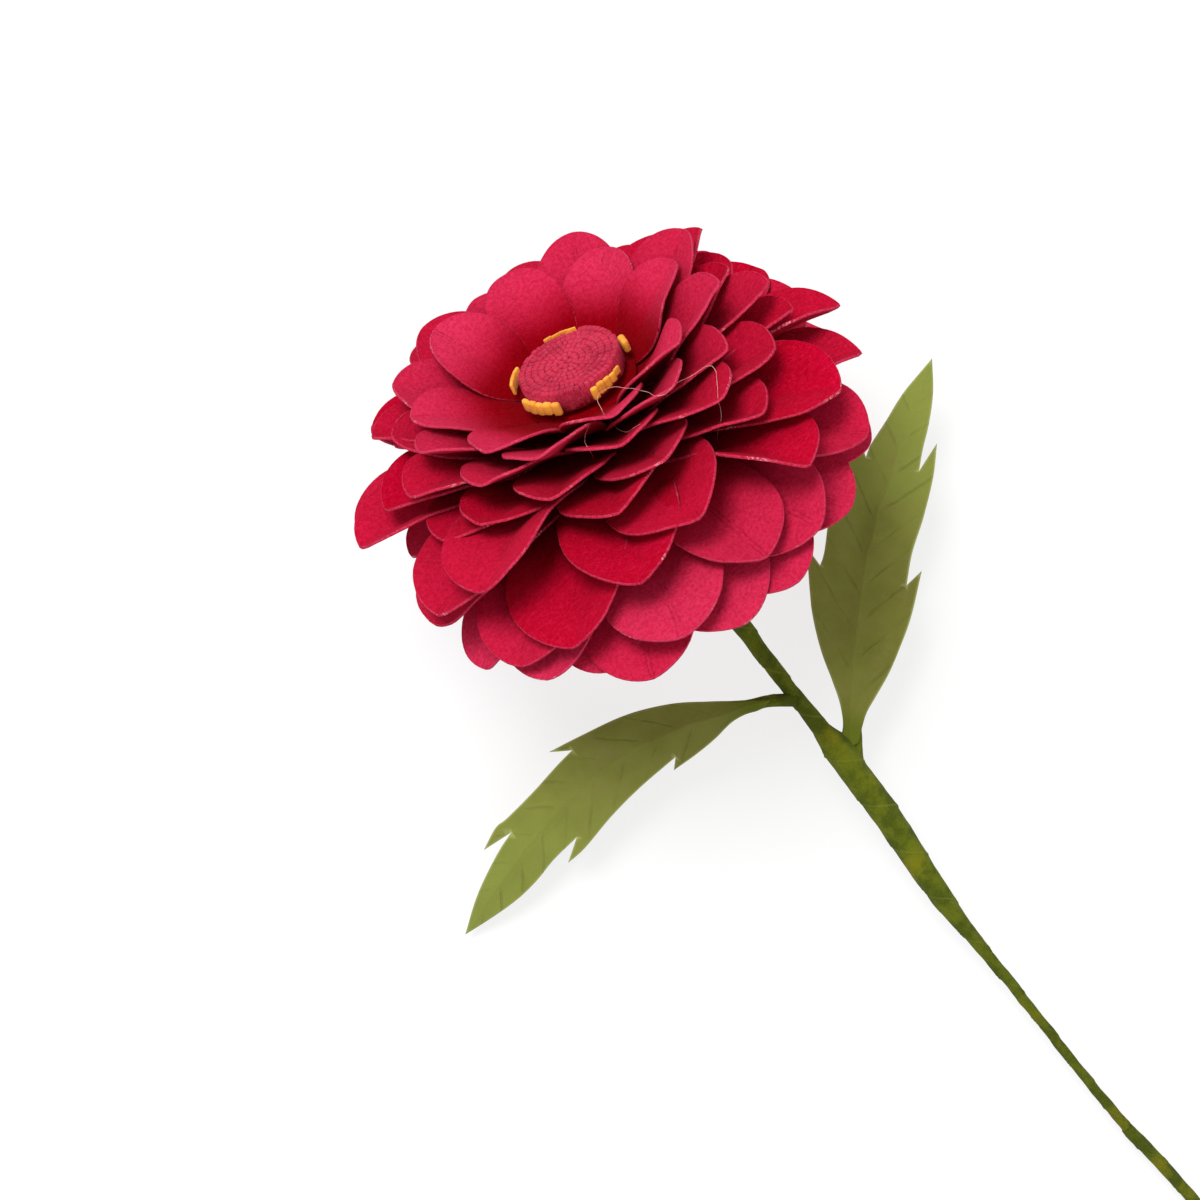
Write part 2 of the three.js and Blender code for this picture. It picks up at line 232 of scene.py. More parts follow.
# Felted paper: a fine grain, longer fibres that lie every way, and slow blotches.
def makePaperGrain():
    group = bpy.data.node_groups.new("paperGrain", "ShaderNodeTree")
    face = group.interface
    face.new_socket(name="Vector", in_out="INPUT", socket_type="NodeSocketVector")
    for name, value in (("GrainScale", 3200.0), ("FibreScale", 900.0), ("BlotchScale", 90.0)):
        face.new_socket(name=name, in_out="INPUT", socket_type="NodeSocketFloat").default_value = value
    for name in ("Grain", "Fibre", "Blotch", "Height"):
        face.new_socket(name=name, in_out="OUTPUT", socket_type="NodeSocketFloat")
    source = group.nodes.new("NodeGroupInput")
    result = group.nodes.new("NodeGroupOutput")
    grain = noiseNode(group, source.outputs["Vector"], source.outputs["GrainScale"], 4.0, 0.7)
    fibres = []
    for turn in ((0.3, 0.2, 0.5), (1.1, 0.9, -0.7), (-0.8, 0.5, 2.1)):
        lay = addNode(group, "ShaderNodeMapping")
        lay.inputs["Rotation"].default_value = turn
        lay.inputs["Scale"].default_value = (1.0, 4.2, 2.1)
        group.links.new(source.outputs["Vector"], lay.inputs["Vector"])
        strand = noiseNode(group, lay.outputs["Vector"], source.outputs["FibreScale"], 3.0, 0.6, 1.4)
        fibres.append(ramp(group, strand, 0.5, 0.74))
    fibre = mathNode(group, "MAXIMUM", mathNode(group, "MAXIMUM", fibres[0], fibres[1]), fibres[2])
    blotch = noiseNode(group, source.outputs["Vector"], source.outputs["BlotchScale"], 4.0, 0.6)
    raised = plus(group, times(group, grain, 0.6), times(group, fibre, 0.4))
    for name, value in (("Grain", grain), ("Fibre", fibre), ("Blotch", blotch), ("Height", raised)):
        group.links.new(value, result.inputs[name])
    return group


paperGrain = makePaperGrain()


def grainIn(tree, scales):
    node = addNode(tree, "ShaderNodeGroup", node_tree=paperGrain)
    tree.links.new(objectPlace(tree), node.inputs["Vector"])
    for name, value in zip(("GrainScale", "FibreScale", "BlotchScale"), scales):
        node.inputs[name].default_value = value
    return node.outputs


def startMaterial(name, fixed):
    made = bpy.data.materials.new(name)
    made.use_nodes = True
    surface = made.node_tree.nodes["Principled BSDF"]
    for socket, value in fixed.items():
        surface.inputs[socket].default_value = value
    return made, made.node_tree, surface


def addBump(tree, surface, height, distance):
    bump = addNode(tree, "ShaderNodeBump")
    bump.inputs["Distance"].default_value = distance
    tree.links.new(height, bump.inputs["Height"])
    tree.links.new(bump.outputs["Normal"], surface.inputs["Normal"])


def finishSurface(tree, surface, ink, colour, grain, height):
    tree.links.new(colour, surface.inputs["Base Color"])
    rough = ramp(tree, grain, 0.3, 0.7, *ink["rough"])
    tree.links.new(rough, surface.inputs["Roughness"])
    addBump(tree, surface, height, ink["bump"])


# Paper with no more than blotches and flecks, for the small rolled parts.
def makePlainPaper(name, ink):
    made, tree, surface = startMaterial(name, ink["fixed"])
    grain = grainIn(tree, ink["scales"])
    colour = mixColour(tree, ramp(tree, grain["Blotch"], *ink["blotch"]), ink["deep"], ink["main"])
    colour = mixColour(tree, times(tree, grain["Fibre"], ink["flecked"]), colour, ink["fleck"])
    finishSurface(tree, surface, ink, colour, grain["Grain"], grain["Height"])
    return made


def smoothStep(edge, value):
    t = min(max(value / edge, 0.0), 1.0)
    return t * t * (3 - 2 * t)


def lerp(a, b, t):
    return a + (b - a) * t


def newShape(mapName, *floatNames):
    bm = bmesh.new()
    for name in floatNames:
        bm.verts.layers.float.new(name)
    bm.loops.layers.uv.new(mapName)
    return bm


def mergeShape(bm, part):
    mesh = bpy.data.meshes.new("part")
    part.to_mesh(mesh)
    part.free()
    bm.from_mesh(mesh)
    bpy.data.meshes.remove(mesh)


def addDrum(bm, radius, depth, height, sides=48):
    drum = bmesh.ops.create_cone(bm, cap_ends=True, cap_tris=False, segments=sides,
                                 radius1=radius, radius2=radius, depth=depth)
    bmesh.ops.translate(bm, verts=drum["verts"], vec=(0, 0, height))


def finishPiece(name, bm, matrix, material, nodes):
    bmesh.ops.transform(bm, matrix=matrix, verts=bm.verts)
    mesh = bpy.data.meshes.new(name)
    bm.to_mesh(mesh)
    bm.free()
    for face in mesh.polygons:
        face.use_smooth = True
    mesh.materials.append(material)
    piece = addObject(name, mesh)
    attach(piece, "root")
    if nodes:
        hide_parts(*nodes)


# petals
petalSet = {
    "root": 8.0, "rootHalfWidth": 3.1, "hubRadius": 8.6, "topHub": -4.2, "hubStep": 1.1,
    "capLength": 0.54, "foldReach": 0.7, "thickness": 0.42, "rimBand": 0.25, "point": 0.04,
    "valley": 0.8, "bulge": 0.012, "along": 24, "across": 24, "columnSpread": 0.86, "seed": 7,
    "wave": 0.484, "waveScale": 0.16, "fineWave": 0.05, "fineScale": 0.7, "noiseSpread": 50,
    "litPalenessSpread": 0.12, "mapWidth": 40, "mapLength": 60,
}
# Rows from the disc outwards: heights from the disc's face, turns clockwise from the head's right.
rowKeys = ("litPaleness", "tipRadius", "tipHeight", "sag", "width", "fold", "roll", "turns")
# each row's first value is painted light: how much paler its petals are drawn where they catch the light
petalRows = [
    (0.8, 22.5, 3.8, 0.3, 13.6, 24, 2, [46, 86, 136, 177, 220, 256, 302, 341]),
    (0.62, 26, 4.4, 1.7, 14.2, 24, 2, [15, 67, 112, 158, 200, 247, 296, 338]),
    (0.3, 28, 2, 1.9, 14.6, 26, 3, [5, 41, 62, 87, 131, 181, 226, 270, 316]),
    (0.15, 31, -0.6, 1.6, 15.2, 26, 3, [34, 80, 111, 155, 191, 232, 274, 315, 354]),
    (0.1, 33.5, -3.8, 1.6, 15.8, 26, 3, [13, 52, 95, 133, 167, 208, 248, 290, 330]),
    (0.12, 38.5, -7.4, 0.75, 17.4, 26, 4, [7, 37, 81, 128, 149, 170, 212, 252, 292, 330]),
    (0.22, 40.4, -11.5, 0.9, 17.8, 26, 4, [20, 56, 96, 141, 185, 226, 268, 308, 344]),
    (0.45, 40.8, -17.8, -0.4, 17.6, 18, 8,
     [14, 37, 54, 73, 94, 114, 132, 152, 178, 204, 230, 256, 284, 312, 340]),
    (0.7, 40.4, -23.8, -1.1, 17.2, 12, 8,
     [0, 24, 47, 66, 85, 104, 113, 123, 141, 165, 190, 215, 240, 264, 288, 312, 336]),
]
# Petals bent one by one, by row and turn: turn, tip radius, tip height, width, fold, roll, sag.
bentPetals = {
    (1, 46): (48.4, 21.5, 5.8, 14.3, 22, 4, -0.2), (1, 86): (86, 22.6, 3.9, 13.9, 24, -1, 0.1),
    (1, 136): (134.9, 23.1, 3.6, 13.9, 23, 3, 0.1), (1, 177): (177.6, 23.8, 4.2, 13.7, 22, 0, 0.4),
    (1, 220): (223.5, 21.5, 6.2, 14.1, 23, -1, 0.3), (1, 256): (263.6, 22.9, 4.7, 12.8, 22, 1, 0.2),
    (1, 302): (303.7, 22.5, 3.9, 13.1, 21, -3, 0.5), (1, 341): (344.6, 20.7, 4.7, 13.5, 26, -6, 0),
    (2, 15): (15.2, 24.6, 5.5, 14.7, 26, 2, 0.9), (2, 67): (66.2, 26, 4.7, 14.6, 25, 7, 1.2),
    (2, 112): (112.3, 26.9, 4.8, 15.2, 25, 7, 1.1), (2, 158): (156.7, 26.6, 4.7, 14.4, 23, 4, 1.5),
    (2, 200): (201.4, 25.9, 4.5, 14.4, 22, -5, 1.6), (2, 247): (249, 22.6, 4.2, 14, 24, 2, 1.5),
    (2, 296): (290.5, 26.3, 5, 14.5, 22, 2, 1.6), (2, 338): (335.8, 25.9, 5.5, 14.7, 26, 2, 1.2),
    (3, 5): (8, 30.7, 0.7, 14.8, 30, -4, 1.3), (3, 41): (41.2, 26.5, 2.3, 15, 31, 8, 1.1),
    (3, 62): (59.2, 31.5, 1.6, 15.5, 24, -1, 0.8), (3, 87): (88, 27.8, 2.5, 15.3, 25, -3, 1.2),
    (3, 131): (130.3, 28.8, 2.8, 15.3, 25, 6, 1.2), (3, 181): (181.7, 27.5, 1.8, 14.8, 21, -5, 1.8),
    (3, 226): (233, 28.1, 2.9, 15.1, 22, -4, 1.7), (3, 316): (329, 30.4, 1.7, 14.6, 27, -18, 1.8),
    (4, 34): (33.5, 31.5, -1.2, 15.7, 27, 6, 1), (4, 80): (80.7, 31.1, -1.1, 15.7, 21, 6, 1.6),
    (4, 111): (111.1, 30.5, 0, 15.3, 25, 1, 1.4), (4, 155): (155.1, 31.4, 0.6, 15.8, 27, 1, 0.4),
    (4, 191): (191.5, 30.8, 0.2, 15.4, 30, 6, 1.3), (4, 354): (352.4, 26.8, 1.1, 15.2, 26, -7, 1.5),
    (5, 13): (12.8, 32.7, -3.5, 15.9, 29, -12, 1.4), (5, 52): (52.2, 33.2, -3.9, 15.7, 27, -4, 1.3),
    (5, 95): (96.2, 33.2, -3.6, 16.9, 23, 6, 1.4), (5, 133): (132.2, 31.6, -2.3, 16, 22, -4, 1.5),
    (5, 167): (168.1, 33.5, -3.6, 16.7, 34, -2, 0.5), (5, 330): (328.9, 32.1, -4.6, 15.8, 23, 5, 1.5),
    (6, 7): (5.9, 38.9, -7.9, 17.7, 31, -14, 0.4), (6, 37): (35.8, 39.4, -8.5, 18.2, 28, 7, -0.3),
    (6, 81): (81.3, 37.9, -7, 19.1, 22, 14, 0.7), (6, 128): (128.5, 40.5, -6.7, 19.6, 27, 10, -1.4),
    (6, 149): (146.9, 32.5, -5.4, 17.5, 21, 5, 0.7), (6, 170): (170.6, 39.2, -7.9, 17.6, 30, 6, 0.2),
    (6, 212): (213, 36.2, -6.8, 16.6, 26, 4, 0.8), (6, 330): (330.6, 36.6, -10.2, 17.4, 20, 4, 0.7),
    (7, 20): (18, 40, -11.8, 17.9, 28, -11, 0.8), (7, 56): (55.9, 40.9, -9.9, 19, 32, -19, 0.4),
    (7, 96): (97.1, 39.6, -11.4, 20.2, 29, 3, -0.2), (7, 141): (141.9, 40.9, -11.5, 19.3, 29, 0, 0),
    (7, 185): (186, 38.6, -11.2, 17.4, 26, 4, 0.9), (7, 344): (344, 36, -11, 16.6, 22, 4, 0.9),
    (8, 14): (16, 35, -17.6, 16.6, 18, 8, -0.4), (8, 37): (35.5, 40.8, -17, 17.8, 23, 3, -0.7),
    (8, 54): (59.6, 41, -19.3, 17.5, 14, 25, -0.3), (8, 73): (72.4, 40.3, -17.4, 17.3, 21, -2, -0.6),
    (8, 94): (94, 42.8, -20.3, 18.4, 10, 2, -0.3), (8, 114): (114.9, 41, -18.1, 21.4, 26, 9, -0.9),
    (8, 132): (127.6, 40.9, -20.3, 18.2, 17, -3, -0.6), (8, 152): (149.1, 39, -16.7, 17.9, 22, 6, -0.6),
    (8, 178): (178, 33.2, -16.2, 16, 18, 8, -0.4), (8, 204): (204, 37.6, -17, 16.6, 18, 8, -0.4),
    (8, 340): (340, 36.6, -17.6, 16.8, 18, 8, -0.4), (9, 0): (2, 34.5, -23, 16.4, 12, 8, -1.1),
    (9, 24): (25, 37.9, -23.8, 17.2, 12, 8, -1.1), (9, 47): (48.5, 39.6, -23.2, 17.4, 12, 11, -1.1),
    (9, 66): (68.2, 40.5, -24.3, 17.3, 11, 9, -1.1), (9, 85): (82.1, 41.2, -24.5, 17.5, 11, 8, -1.1),
    (9, 104): (102.6, 42, -26, 17.6, 10, 4, -1.1), (9, 113): (112.5, 38.4, -25.6, 16.2, 11, 4, -1.1),
    (9, 123): (124, 40.5, -23.6, 17.2, 13, 9, -1.1), (9, 141): (141.2, 38.7, -24.1, 17.1, 13, 19, -1.2),
    (9, 165): (163, 36.2, -22.4, 16.4, 12, 8, -1.1), (9, 190): (190, 32, -21.4, 15.6, 12, 8, -1.1),
}
bentKeys = ("turn", "tipRadius", "tipHeight", "width", "fold", "roll", "sag")
# Petals drawn paler or less pale than the rest of their row: painted light, for petals that catch more or
# less light than their row.
litPetalPaleness = {(8, 94): 0.8, (8, 73): 0.62, (8, 54): 0.6, (8, 37): 0.45, (8, 114): 0.1, (8, 132): 0.25,
               (7, 96): 0.02, (7, 56): 0.1, (9, 104): 0.6, (9, 85): 0.65, (9, 141): 0.75, (6, 37): 0.05}
# Petals cut to a sharper tip than the rest, as a share of a straight-sided point.
pointedPetals = {(6, 7): 0.3, (6, 212): 0.25, (7, 20): 0.35, (8, 14): 0.2}


def petalFacts(rowNumber, turn):
    petal = (rowNumber + 1, turn)
    facts = dict(zip(rowKeys, petalRows[rowNumber]))
    facts["turn"] = turn
    facts["hub"] = petalSet["topHub"] - petalSet["hubStep"] * rowNumber
    facts["litPaleness"] = litPetalPaleness.get(petal, facts["litPaleness"])
    facts["point"] = pointedPetals.get(petal, petalSet["point"])
    facts.update(zip(bentKeys, bentPetals.get(petal, ())))
    return facts


# A place on the petal: u runs from its root to its rounded end, v across the crease.
def petalPlace(facts, u, v):
    root = Vector((petalSet["root"], facts["hub"]))
    tip = Vector((facts["tipRadius"], facts["tipHeight"]))
    middle = (root + tip) / 2 - Vector((0, 2 * facts["sag"]))
    length = (tip - root).length
    half = facts["width"] / 2
    capStart = 1 - petalSet["capLength"] * facts["width"] / length
    curve = lerp(math.sqrt(max(0.0, 1 - v * v)), 1 - abs(v), facts["point"])
    end = capStart + (1 - capStart) * curve
    t = u * end
    place = root * (1 - t) ** 2 + middle * (2 * t * (1 - t)) + tip * t * t
    slope = ((middle - root) * (1 - t) + (tip - middle) * t).normalized()
    opening = math.sin(math.pi / 2 * min(1.0, t / capStart))
    reach = abs(v) * lerp(petalSet["rootHalfWidth"], half, opening)
    side = 1 if v > 0 else -1
    lift = math.radians(facts["fold"] + side * facts["roll"]) * smoothStep(petalSet["foldReach"], t)
    soft = math.sqrt(reach * reach + petalSet["valley"] ** 2) - petalSet["valley"]
    sideways = side * reach * math.cos(lift)
    rise = soft * math.sin(lift) - petalSet["bulge"] * reach * reach
    radial = place.x - slope.y * rise
    heading = math.radians(-facts["turn"])
    return Vector((
        radial * math.cos(heading) - sideways * math.sin(heading),
        radial * math.sin(heading) + sideways * math.cos(heading),
        place.y + slope.x * rise,
    )), side * reach, t * length


def spreadColumn(value, band):
    edge = 1 - 2 / petalSet["across"]
    widest = math.pi / 2 * petalSet["columnSpread"]
    if abs(value) <= edge + tiny:
        return math.sin(widest * value / edge) / math.sin(widest) * (1 - band)
    return math.copysign(1.0, value)


def spreadRow(value, band):
    edge = 1 - 1 / petalSet["along"]
    return min(1.0, value / edge) * (1 - band) if value <= edge + tiny else 1.0


def addPetal(bm, facts, chance):
    rimLayer = bm.verts.layers.float["rim"]
    litPaleToneLayer = bm.verts.layers.float["litPaleTone"]
    depthLayer = bm.verts.layers.float["depth"]
    mapLayer = bm.loops.layers.uv["petalMap"]
    made = bmesh.ops.create_grid(bm, x_segments=petalSet["along"], y_segments=petalSet["across"], size=1)
    spread, far = petalSet["litPalenessSpread"], petalSet["noiseSpread"]
    # the petal's painted light paleness, with a random spread
    litPaleTone = min(max(facts["litPaleness"] + chance.uniform(-spread, spread), 0.0), 1.0)
    stray = chance.random()
    shift = Vector([chance.uniform(-far, far) for axis in "xyz"])
    half = facts["width"] / 2
    span = math.hypot(facts["tipRadius"] - petalSet["root"], facts["tipHeight"] - facts["hub"])
    verts = made["verts"]
    flat = {}
    for vert in verts:
        u = spreadRow((vert.co.x + 1) / 2, petalSet["rimBand"] / span)
        v = spreadColumn(vert.co.y, petalSet["rimBand"] / half)
        vert.co, across, along = petalPlace(facts, u, v)
        vert[rimLayer] = 1.0 if max(u, abs(v)) > 1 - tiny else 0.0
        vert[litPaleToneLayer] = litPaleTone
        vert[depthLayer] = along / span
        flat[vert] = (0.5 + across / petalSet["mapWidth"], along / petalSet["mapLength"] + stray)
    faces = list({face for vert in verts for face in vert.link_faces})
    for face in faces:
        for loop in face.loops:
            loop[mapLayer].uv = flat[loop.vert]
    bmesh.ops.recalc_face_normals(bm, faces=faces)
    if sum(face.normal.z for face in faces) < 0:
        bmesh.ops.reverse_faces(bm, faces=faces)
    for vert in verts:
        vert.normal_update()
    moves = {}
    for vert in verts:
        bend = noise.noise(vert.co * petalSet["waveScale"] + shift) * petalSet["wave"] * vert[depthLayer]
        fine = noise.noise(vert.co * petalSet["fineScale"] + shift) * petalSet["fineWave"]
        moves[vert] = vert.normal * (bend + fine)
    for vert, move in moves.items():
        vert.co += move
    bmesh.ops.solidify(bm, geom=faces, thickness=petalSet["thickness"])


def makePetalRow(rowNumber, material):
    chance = random.Random(petalSet["seed"] + rowNumber)
    bm = newShape("petalMap", "rim", "litPaleTone", "depth")
    for turn in petalRows[rowNumber][-1]:
        petal = newShape("petalMap", "rim", "litPaleTone", "depth")
        addPetal(petal, petalFacts(rowNumber, turn), chance)
        mergeShape(bm, petal)
    addDrum(bm, petalSet["hubRadius"], petalSet["thickness"],
            petalSet["topHub"] - petalSet["hubStep"] * rowNumber)
    finishPiece(f"petalRow{rowNumber + 1}", bm, headMatrix, material,
                [f"petal_layer_{rowNumber + 1}"])


petalInk = {
    # on this line, the first colour is painted shade: the dark red drawn at each petal's root, under the
    # petals above it
    "root": (0.21, 0.0, 0.002, 1), "deep": (0.36, 0.0, 0.01, 1), "main": (0.52, 0.0004, 0.028, 1),
    # on this line, the second colour is painted light: the paler pink of petals that catch the light
    "fibre": (0.62, 0.012, 0.06, 1), "pale": (0.61, 0.034, 0.1, 1), "rim": (0.66, 0.06, 0.13, 1),
    # on this line, the first colour is a painted highlight where the cut edge catches the light, and the
    # third is painted shade for the scored fold lines
    "bare": (0.85, 0.4, 0.45, 1), "pit": (0.79, 0.54, 0.63, 1), "crease": (0.2, 0.0, 0.004, 1),
    "fixed": {"Sheen Weight": 0.03, "Sheen Roughness": 0.4, "Sheen Tint": (1.0, 0.35, 0.45, 1),
              "Specular IOR Level": 0.01},
    "scales": (3000.0, 700.0, 90.0), "bump": 0.00015, "rough": (0.95, 0.8),
    # where along the petal each change of colour starts and ends
    "rootShadeReach": (0.15, 0.9), "litPalenessReach": (0.28, 0.88), "foldReach": (0.4, 0.75),
    # noises: scale, detail, roughness
    "felt": (2000.0, 4.0, 0.75), "fuzz": (2600.0, 3.0, 0.8), "wobble": (340.0, 3.0),
    "foldGaps": (210.0, 2.0), "bareSpots": (130.0, 2.0),
    # the two lines of the fold, in shares of the map: from the middle, width, wander
    "foldLine": (0.0085, 0.005, 0.03),
    "creased": 0.2, "wornRim": 0.6, "bareRim": 0.7, "rimFuzz": 2.6,
}


def makePetalPaper():
    ink = petalInk
    made, tree, surface = startMaterial("petalPaper", ink["fixed"])
    grain = grainIn(tree, ink["scales"])
    mapAcross = mapPlace(tree, "petalMap")[1]
    litPaleTone, depth, rim = [attributeValue(tree, name) for name in ("litPaleTone", "depth", "rim")]
    shade = plus(tree, times(tree, grain["Grain"], 0.7), times(tree, grain["Blotch"], 0.5))
    colour = mixColour(tree, ramp(tree, shade, 0.35, 0.85), ink["deep"], ink["main"])
    # painted shade: each petal darkens towards its root, where the petals above it shade it
    colour = mixColour(tree, ramp(tree, depth, *ink["rootShadeReach"]), ink["root"], colour)
    # painted light: petals that catch the light are drawn paler towards their ends
    paintedPaleMask = times(tree, litPaleTone, ramp(tree, depth, *ink["litPalenessReach"]))
    colour = mixColour(tree, paintedPaleMask, colour, ink["pale"])
    fibred = times(tree, grain["Fibre"], ramp(tree, depth, 0.2, 0.9, 0.1, 0.6))
    colour = mixColour(tree, fibred, colour, ink["fibre"])
    # felted paper is full of tiny pits between its fibres
    felt = localNoise(tree, *ink["felt"])
    colour = mixColour(tree, ramp(tree, felt, 0.62, 0.36), colour, ink["pit"], "MULTIPLY")
    # the fold was scored as two fine lines close together, drawn darker as painted shade in their grooves
    fromMiddle, width, wander = ink["foldLine"]
    wobble = minus(tree, localNoise(tree, *ink["wobble"]), 0.5)
    across = plus(tree, minus(tree, mapAcross, 0.5), times(tree, wobble, wander))
    lines = mathNode(tree, "ABSOLUTE", minus(tree, mathNode(tree, "ABSOLUTE", across), fromMiddle))
    scored = times(tree, ramp(tree, lines, 0.0, width, 1.0, 0.0), ramp(tree, depth, *ink["foldReach"]))
    scored = times(tree, scored, ramp(tree, localNoise(tree, *ink["foldGaps"]), 0.42, 0.62))
    colour = mixColour(tree, times(tree, scored, ink["creased"]), colour, ink["crease"])
    fuzz = localNoise(tree, *ink["fuzz"])
    frayed = plus(tree, rim, times(tree, minus(tree, fuzz, 0.5), ink["rimFuzz"]))
    worn = times(tree, ramp(tree, frayed, 0.5, 1.3), ink["wornRim"])
    colour = mixColour(tree, worn, colour, ink["rim"])
    # painted highlight: here and there the cut edge is drawn near white, where it catches the light
    spots = ramp(tree, localNoise(tree, *ink["bareSpots"]), 0.56, 0.66)
    bare = times(tree, times(tree, spots, ramp(tree, fuzz, 0.5, 0.62)), ramp(tree, rim, 0.7, 1.0))
    colour = mixColour(tree, times(tree, bare, ink["bareRim"]), colour, ink["bare"])
    height = plus(tree, times(tree, grain["Height"], 0.6), felt)
    height = plus(tree, height, times(tree, fuzz, times(tree, rim, 1.5)))
    height = minus(tree, height, times(tree, scored, 0.7))
    finishSurface(tree, surface, ink, colour, grain["Grain"], height)
    return made


petalPaper = makePetalPaper()
for rowNumber in range(len(petalRows)):
    makePetalRow(rowNumber, petalPaper)
print("petals made")


# the disc: a fringed strip rolled up, so its face is a spiral of small tabs
coilSet = {
    "radius": 8.1, "depth": 3.5, "pitch": 1.0, "tabWidth": 0.82, "thickness": 0.97,
    "rounding": 0.13, "unevenTop": 0.11, "lean": 5.0, "seed": 21, "shift": (-0.3, 0.2, 0.65),
    "start": 0.45, "tabLength": 2.0, "rimLength": 3.3, "twist": 14, "stretch": (0.8, 1.1),
    "stepSpread": (0.88, 1.02), "tightest": 0.5, "highShare": 0.6, "coreInset": 0.5, "coreDrop": 0.7,
}
coilInk = {
    "deep": (0.34, 0.004, 0.03, 1), "main": (0.50, 0.016, 0.055, 1), "fleck": (0.62, 0.09, 0.15, 1),
    "fixed": {"Sheen Weight": 0.06, "Sheen Roughness": 0.5, "Sheen Tint": (1.0, 0.5, 0.55, 1),
              "Specular IOR Level": 0.1},
    "scales": (4200.0, 1300.0, 260.0), "blotch": (0.3, 0.62), "flecked": 0.55,
    "rough": (0.98, 0.84), "bump": 0.00009,
}


def makeTabMesh(size, rounding, segments):
    bm = bmesh.new()
    bmesh.ops.create_cube(bm, size=1)
    bmesh.ops.scale(bm, verts=bm.verts, vec=size)
    bmesh.ops.bevel(bm, geom=list(bm.edges), offset=rounding, offset_type="OFFSET", affect="EDGES",
                    segments=segments, profile=0.5, material=-1)
    mesh = bpy.data.meshes.new("tabShape")
    bm.to_mesh(mesh)
    bm.free()
    return mesh


def stampTab(bm, shape, matrix):
    before = len(bm.verts)
    bm.from_mesh(shape)
    bm.verts.ensure_lookup_table()
    bmesh.ops.transform(bm, matrix=matrix, verts=bm.verts[before:])


def makeDisc():
    chance = random.Random(coilSet["seed"])
    bm = bmesh.new()
    addDrum(bm, coilSet["radius"] - coilSet["coreInset"], coilSet["depth"] - coilSet["coreDrop"],
            -(coilSet["depth"] + coilSet["coreDrop"]) / 2)
    shapes = {length: makeTabMesh((coilSet["tabWidth"], coilSet["thickness"], length),
                                  coilSet["rounding"], 1)
              for length in (coilSet["tabLength"], coilSet["rimLength"])}
    lastRadius = coilSet["radius"] - coilSet["thickness"] / 2
    radius = coilSet["start"]
    angle = 0.0
    while radius <= lastRadius:
        outer = radius > lastRadius - coilSet["pitch"]
        height = chance.uniform(-coilSet["unevenTop"], coilSet["unevenTop"] * coilSet["highShare"])
        length = coilSet["rimLength"] if outer else coilSet["tabLength"]
        lean = math.radians(chance.uniform(-coilSet["lean"], coilSet["lean"]))
        twist = math.radians(90 + chance.uniform(-coilSet["twist"], coilSet["twist"]))
        matrix = (Matrix.Rotation(angle, 4, "Z")
                  @ Matrix.Translation((radius, 0, height - length / 2))
                  @ Matrix.Rotation(lean, 4, "Y")
                  @ Matrix.Rotation(twist, 4, "Z")
                  @ Matrix.Scale(chance.uniform(*coilSet["stretch"]), 4, (1, 0, 0)))
        stampTab(bm, shapes[length], matrix)
        step = coilSet["tabWidth"] * chance.uniform(*coilSet["stepSpread"])
        angle += step / max(radius, coilSet["tightest"])
        radius = coilSet["start"] + coilSet["pitch"] * angle / (2 * math.pi)
    for shape in shapes.values():
        bpy.data.meshes.remove(shape)
    finishPiece("rolledDisc", bm, headMatrix @ Matrix.Translation(coilSet["shift"]),
                makePlainPaper("coilPaper", coilInk), ["center_coil"])


makeDisc()
print("disc made")


# yellow florets: short rows of rounded tabs against the disc's side
floretSet = {
    "tabDepth": 1.0, "tabHeight": 2.1, "rounding": 0.42, "bevels": 3, "seed": 5, "twist": 7,
    "depths": (0.85, 1.12), "heights": (0.94, 1.06), "widths": (0.98, 1.08), "inOut": 0.07, "upDown": 0.1,
    # node number: first turn, last turn, tabs, depth share, top, radius, size at first and last
    "clumps": {1: (-10, 7, 2, 1.05, 0.1, 8.35, 1.0, 1.0), 2: (46, 85, 5, 0.85, 0.25, 8.5, 0.62, 1.05),
               3: (117, 162, 5, 1.0, 0.1, 8.75, 1.0, 1.0), 4: (193, 220, 3, 0.55, -0.05, 9.15, 0.95, 1.0),
               5: (258, 291, 4, 0.36, 0.2, 8.8, 1.2, 0.75)},
}
floretInk = {
    "deep": (0.62, 0.2, 0.012, 1), "main": (0.87, 0.36, 0.03, 1), "fleck": (0.95, 0.52, 0.09, 1),
    "fixed": {"Specular IOR Level": 0.25, "Sheen Weight": 0.1},
    "scales": (3800.0, 1200.0, 400.0), "blotch": (0.3, 0.6), "flecked": 0.5,
    "rough": (0.9, 0.65), "bump": 0.00005,
}


